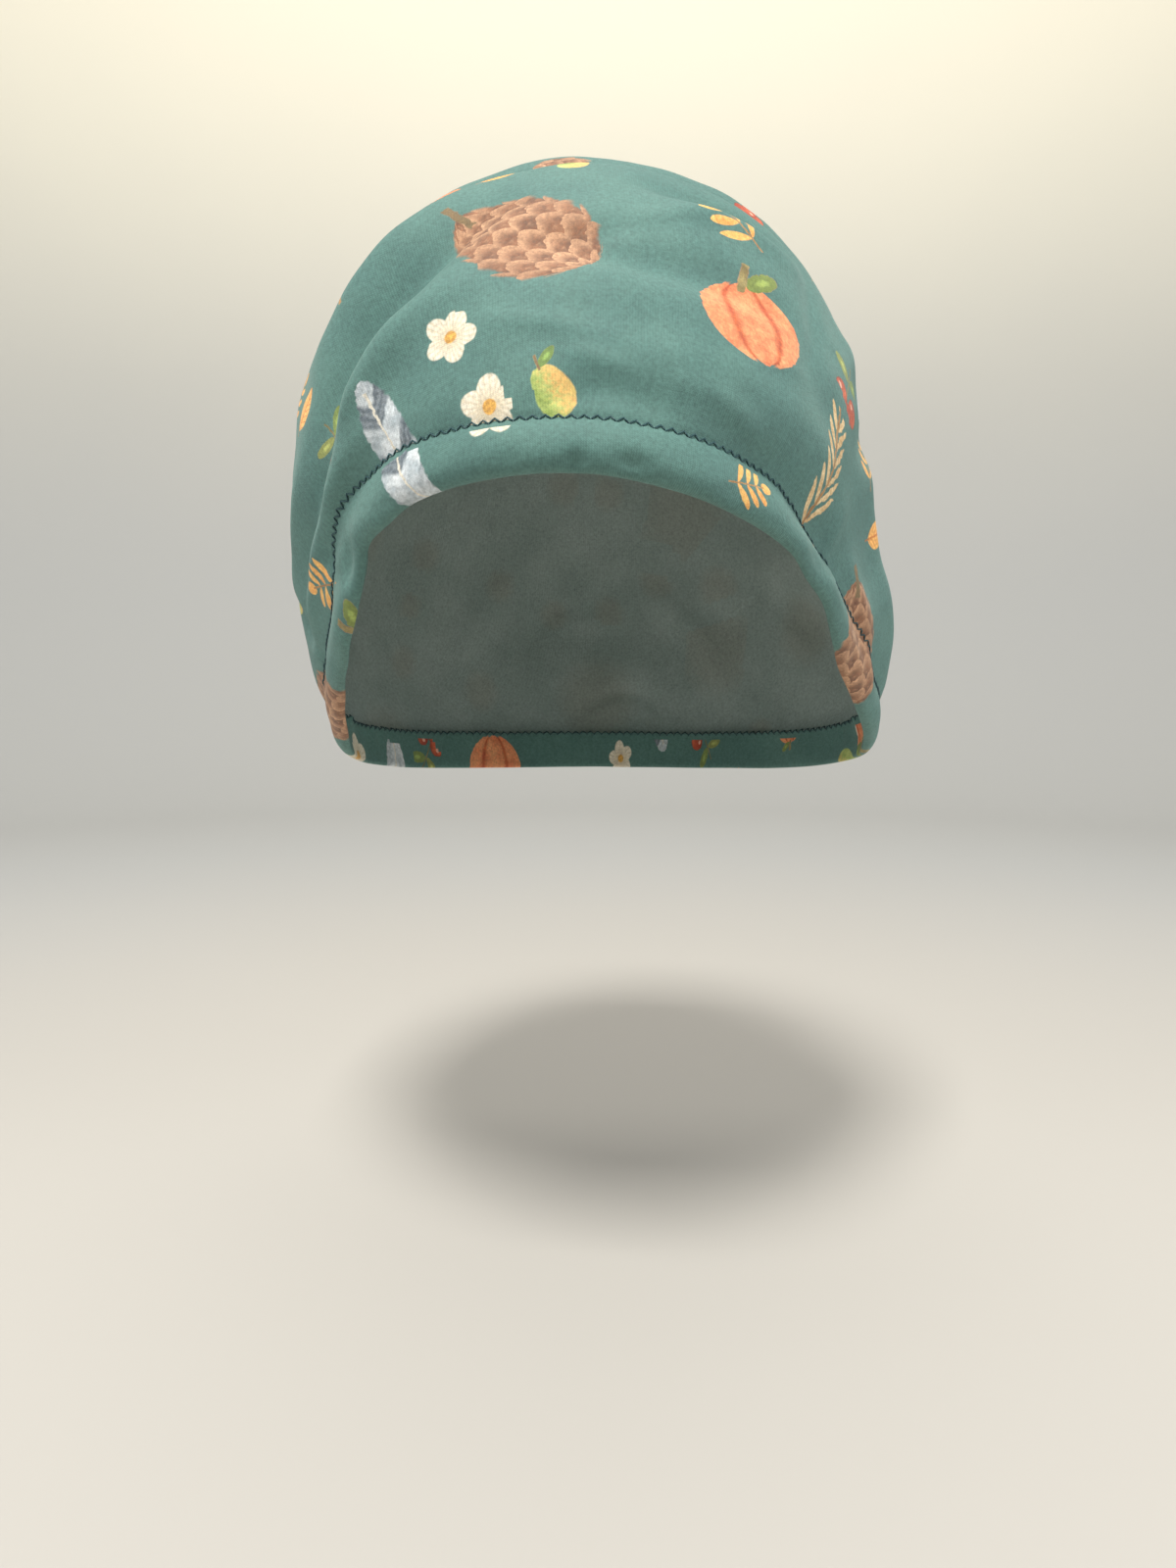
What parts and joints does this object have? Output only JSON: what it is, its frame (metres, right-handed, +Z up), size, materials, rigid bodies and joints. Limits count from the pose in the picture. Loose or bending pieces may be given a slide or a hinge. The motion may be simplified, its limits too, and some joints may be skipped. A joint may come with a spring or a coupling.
{
  "type": "scrub cap",
  "caption": "Close-fitting stretch-knit scrub cap in worn form, a printed crown with a turned and stitched hem from brow to nape.",
  "frame": {"origin": "middle of the head opening, level with the lower edge of the brow hem", "axes": "+Z up through the crown, -Y out through the brow, +X to the wearer's left"},
  "size_m": [0.1785, 0.2077, 0.1748],
  "materials": {
    "printed_knit": "soft brushed knit, teal green with a scattered print",
    "hem_knit": "the same knit turned under, a little darker at its edge",
    "stitch_thread": "dark teal sewing thread",
    "inner_knit": "pale unprinted back of the knit"
  },
  "bodies": {
    "root": {"front_panel": "printed_knit", "back_panel": "printed_knit", "brow_hem": "hem_knit", "nape_hem": "hem_knit"}
  },
  "joints": []
}
